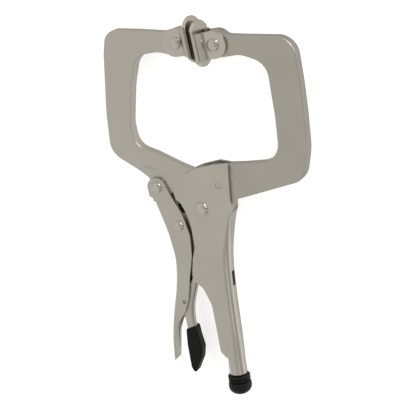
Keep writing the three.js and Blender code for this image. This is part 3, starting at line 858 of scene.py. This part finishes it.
def flush_pin(centre, pin, half):
    """A pin peened nearly flush, with a shallow dished end."""
    end = [(pin, half - 0.35), (pin - 0.1, half - 0.12), (pin - 0.4, half)]
    end += [(pin * 0.62, half - 0.05), (pin * 0.3, half - 0.3)]
    profile = [(0, -end[-1][1])] + [(r, -z) for r, z in reversed(end)] + end + [(0, end[-1][1])]
    return turned("pin", profile, centre)


# ---- Pads --------------------------------------------------------------------------------------------------
def along_y(points, reach):
    """A shape drawn in x and z, drawn out along y both ways."""
    return from_rings("fold", [[(p.x, -reach, p.y) for p in points], [(p.x, reach, p.y) for p in points]])


def swivel_pad(pivot, turn, lift):
    """A round plate with its clamping face towards +X, and two ears folded back along the arm."""
    back = PAD_REACH - PAD_SHEET
    rim = [(PAD_RADIUS - 0.7 * (1 - math.cos(math.pi / 2 * k / 4)), 0.7 * math.sin(math.pi / 2 * k / 4))
           for k in range(5)]
    profile = [(0, back)] + [(r, back + 0.7 - h) for r, h in reversed(rim)]
    profile += [(r, PAD_REACH - 0.7 + h) for r, h in rim] + [(0, PAD_REACH)]
    disc = turned("disc", profile, (0, 0), count=96)
    disc.data.transform(Matrix.Translation((0, lift, 0)) @ Matrix.Rotation(math.pi / 2, 4, "Y"))
    trim = along_y(outline([
        (2, -PAD_HALF, 0), (PAD_REACH, -PAD_HALF, 2.2), (PAD_REACH, PAD_HALF, 2.2), (2, PAD_HALF, 0),
    ]), FAR)
    combine(disc, trim, "INTERSECT")
    section = outline([
        (-20, EAR_INNER, 0), (4.6, EAR_INNER, 1.5), (back - 1.4, PAD_HALF - PAD_SHEET - 0.6, 1.0),
        (back + 0.4, PAD_HALF - 4.2, 0), (back + 0.4, 3, 0), (PAD_REACH - 0.3, 3, 0),
        (PAD_REACH - 0.3, PAD_HALF - 2.6, 0), (PAD_REACH - 0.9, PAD_HALF - 0.15, 2.0),
        (back - 1.2, PAD_HALF - 0.02, 1.6), (5.6, EAR_OUTER, 2.5), (-20, EAR_OUTER, 0),
    ])
    ear_plan = outline([
        (-EAR_RADIUS, -EAR_RADIUS, EAR_RADIUS), (9.8, -EAR_RADIUS, 1), (PAD_REACH, -EAR_END, 0),
        (PAD_REACH, EAR_END, 0), (9.8, EAR_RADIUS, 1), (-EAR_RADIUS, EAR_RADIUS, EAR_RADIUS),
    ])
    ear = combine(along_y(section, 30), plate("ear", ear_plan, FAR), "INTERSECT")
    cut(ear, bar((0, 0), SMALL_PIN + GAP))
    soften(ear, 0.4)
    pad = join(disc, *both_sides(ear))
    place = Matrix.Translation((*pivot, 0)) @ Matrix.Rotation(math.radians(turn), 4, "Z")
    pad.data.transform(place)
    return pad


# ---- Spring ------------------------------------------------------------------------------------------------
def tube(name, points, radius, sides=10):
    """A round wire along points, with its section carried along without twisting."""
    rings = []
    across = Vector((0, 0, 1))
    for i, here in enumerate(points):
        ahead = (points[min(i + 1, len(points) - 1)] - points[max(i - 1, 0)]).normalized()
        across = (across - ahead * across.dot(ahead)).normalized()
        up = ahead.cross(across)
        turn = [2 * math.pi * k / sides for k in range(sides)]
        rings.append([here + across * (radius * math.cos(a)) + up * (radius * math.sin(a)) for a in turn])
    return from_rings(name, rings)


def through(points, step=0.35):
    """A smooth line through points."""
    line = [points[0]]
    for i in range(len(points) - 1):
        a, b, c, d = points[max(i - 1, 0)], points[i], points[i + 1], points[min(i + 2, len(points) - 1)]
        count = max(1, round((c - b).length / step))
        for k in range(1, count + 1):
            t = k / count
            line.append((2 * b + (c - a) * t + (2 * a - 5 * b + 4 * c - d) * t ** 2
                         + (3 * b - a - 3 * c + d) * t ** 3) / 2)
    return line


def spring_frame():
    eye = Vector((*SPRING_EYE, 0))
    anchor = Vector((12.6, SLOT_CENTRE_Y + 3.5, 0))
    along = (anchor - eye).normalized()
    return eye, anchor, along, Vector((-along.y, along.x, 0))


def tension_spring():
    """One wire: a loop through the jaw's eye, the coil, and an end that hooks into the spine's slot."""
    eye, anchor, along, across = spring_frame()

    def place(s, a, z):
        return eye + along * s + across * a + Vector((0, 0, z))

    loop = 2.35
    points = []
    for k in range(8):
        angle = math.pi * (0.35 + 1.5 * k / 7)
        points.append(place(loop - 0.1 + loop * math.cos(angle), 0, loop * math.sin(angle)))
    points += [place(9, 0, -0.4), place(15, 0, 0), place(22, 0, 0)]
    start = 26.5
    pitch = 2.3
    per_turn = 16
    for k in range(SPRING_TURNS * per_turn + 1):
        angle = 2 * math.pi * k / per_turn
        s = start + pitch * k / per_turn
        points.append(place(s, SPRING_COIL * math.sin(angle), SPRING_COIL * math.cos(angle)))
    end = start + pitch * SPRING_TURNS
    points += [place(end + 3, 0, 0.8), place(end + 6, 0, 0), anchor]
    return tube("spring", through(points), SPRING_WIRE)


# ---- The tool --------------------------------------------------------------------------------------
settle(movable_jaw(), "movable_jaw", "jaw", NICKEL)
# The fixed jaw takes the darker nickel copy: its painted shade
settle(fixed_jaw(), "fixed_jaw", "frame", PAINTED_SHADE_NICKEL)
settle(fixed_handle(), "fixed_handle", "frame", NICKEL)
settle(lever_handle(), "lever_handle", "lever", NICKEL)
settle(release_lever(), "release_lever", "release", NICKEL)
settle(toggle_link(), "toggle_link", "link", STEEL)
settle(release_grip(), "release_grip", "release", VINYL)
settle(adjusting_screw(), "adjusting_screw", "screw", STEEL)
settle(screw_knob(), "screw_knob", "knob", RUBBER)
settle(swivel_pad(LEFT_PAD_PIVOT, PAD_TILT, LEFT_PAD_LIFT), "left_swivel_pad", "left_pad",
       PAD_NICKEL)
settle(swivel_pad(RIGHT_PAD_PIVOT, PAD_TILT + 180, -RIGHT_PAD_LIFT), "right_swivel_pad", "right_pad",
       PAD_NICKEL)

RIVETS = [
    ("main_pivot_rivet", "frame", MAIN_PIVOT, MAIN_PIN, MAIN_HEAD, BODY_OUTER),
    ("jaw_lever_rivet", "lever", LEVER_PIVOT, SMALL_PIN, SMALL_HEAD, LEVER_OUTER),
    ("link_rivet", "lever", LINK_PIVOT, SMALL_PIN, SMALL_HEAD, LEVER_OUTER),
    ("left_pad_rivet", "jaw", LEFT_PAD_PIVOT, SMALL_PIN, PAD_HEAD, EAR_OUTER),
    ("right_pad_rivet", "frame", RIGHT_PAD_PIVOT, SMALL_PIN, PAD_HEAD, EAR_OUTER),
]
for node, ride, centre, pin, head, seat in RIVETS:
    settle(rivet(centre, pin, head, seat), node, ride, BRIGHT_NICKEL)
settle(flush_pin(FIXING_RIVET, FIXING_PIN, BODY_OUTER - 0.02), "jaw_fixing_rivet", "frame",
       NICKEL)
settle(flush_pin(RELEASE_PIVOT, RELEASE_PIN, LEVER_OUTER - 0.25), "release_pivot_pin", "lever",
       STEEL)

spring_eye, spring_anchor, spring_along, _ = spring_frame()
still = tuple(TO_ROW @ (spring_eye + spring_along * 21))
hooked = tuple(TO_ROW @ (spring_eye + spring_along * 4))
settle(tension_spring(), "tension_spring", ("frame", "jaw", still, hooked), WIRE)
